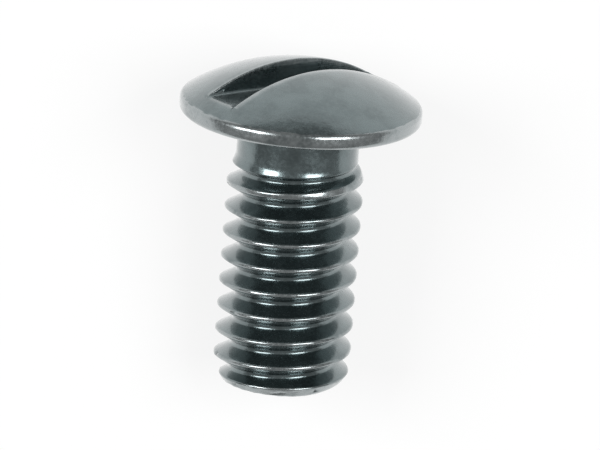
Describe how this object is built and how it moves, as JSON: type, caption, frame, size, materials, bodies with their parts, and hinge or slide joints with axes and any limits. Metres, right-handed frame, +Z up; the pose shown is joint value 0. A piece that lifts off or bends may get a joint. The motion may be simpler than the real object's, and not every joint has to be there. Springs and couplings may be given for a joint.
{
  "type": "slotted round head machine screw",
  "caption": "Small blackened steel machine screw with a shallow slotted dome head, a short plain neck and a fine right-hand thread, lying on its side.",
  "frame": {"origin": "on the ground, under the middle of the screw's footprint as it lies", "axes": "+Z up; +Y from the end of the thread towards the head; the screw's axis lies in the YZ plane and rises towards the head by 11.3 degrees; +X across it"},
  "size_m": [0.0042, 0.006, 0.0042],
  "materials": {
    "blackened_steel": "satin black oxide on steel"
  },
  "bodies": {
    "root": {"screw": "blackened_steel"}
  },
  "joints": []
}
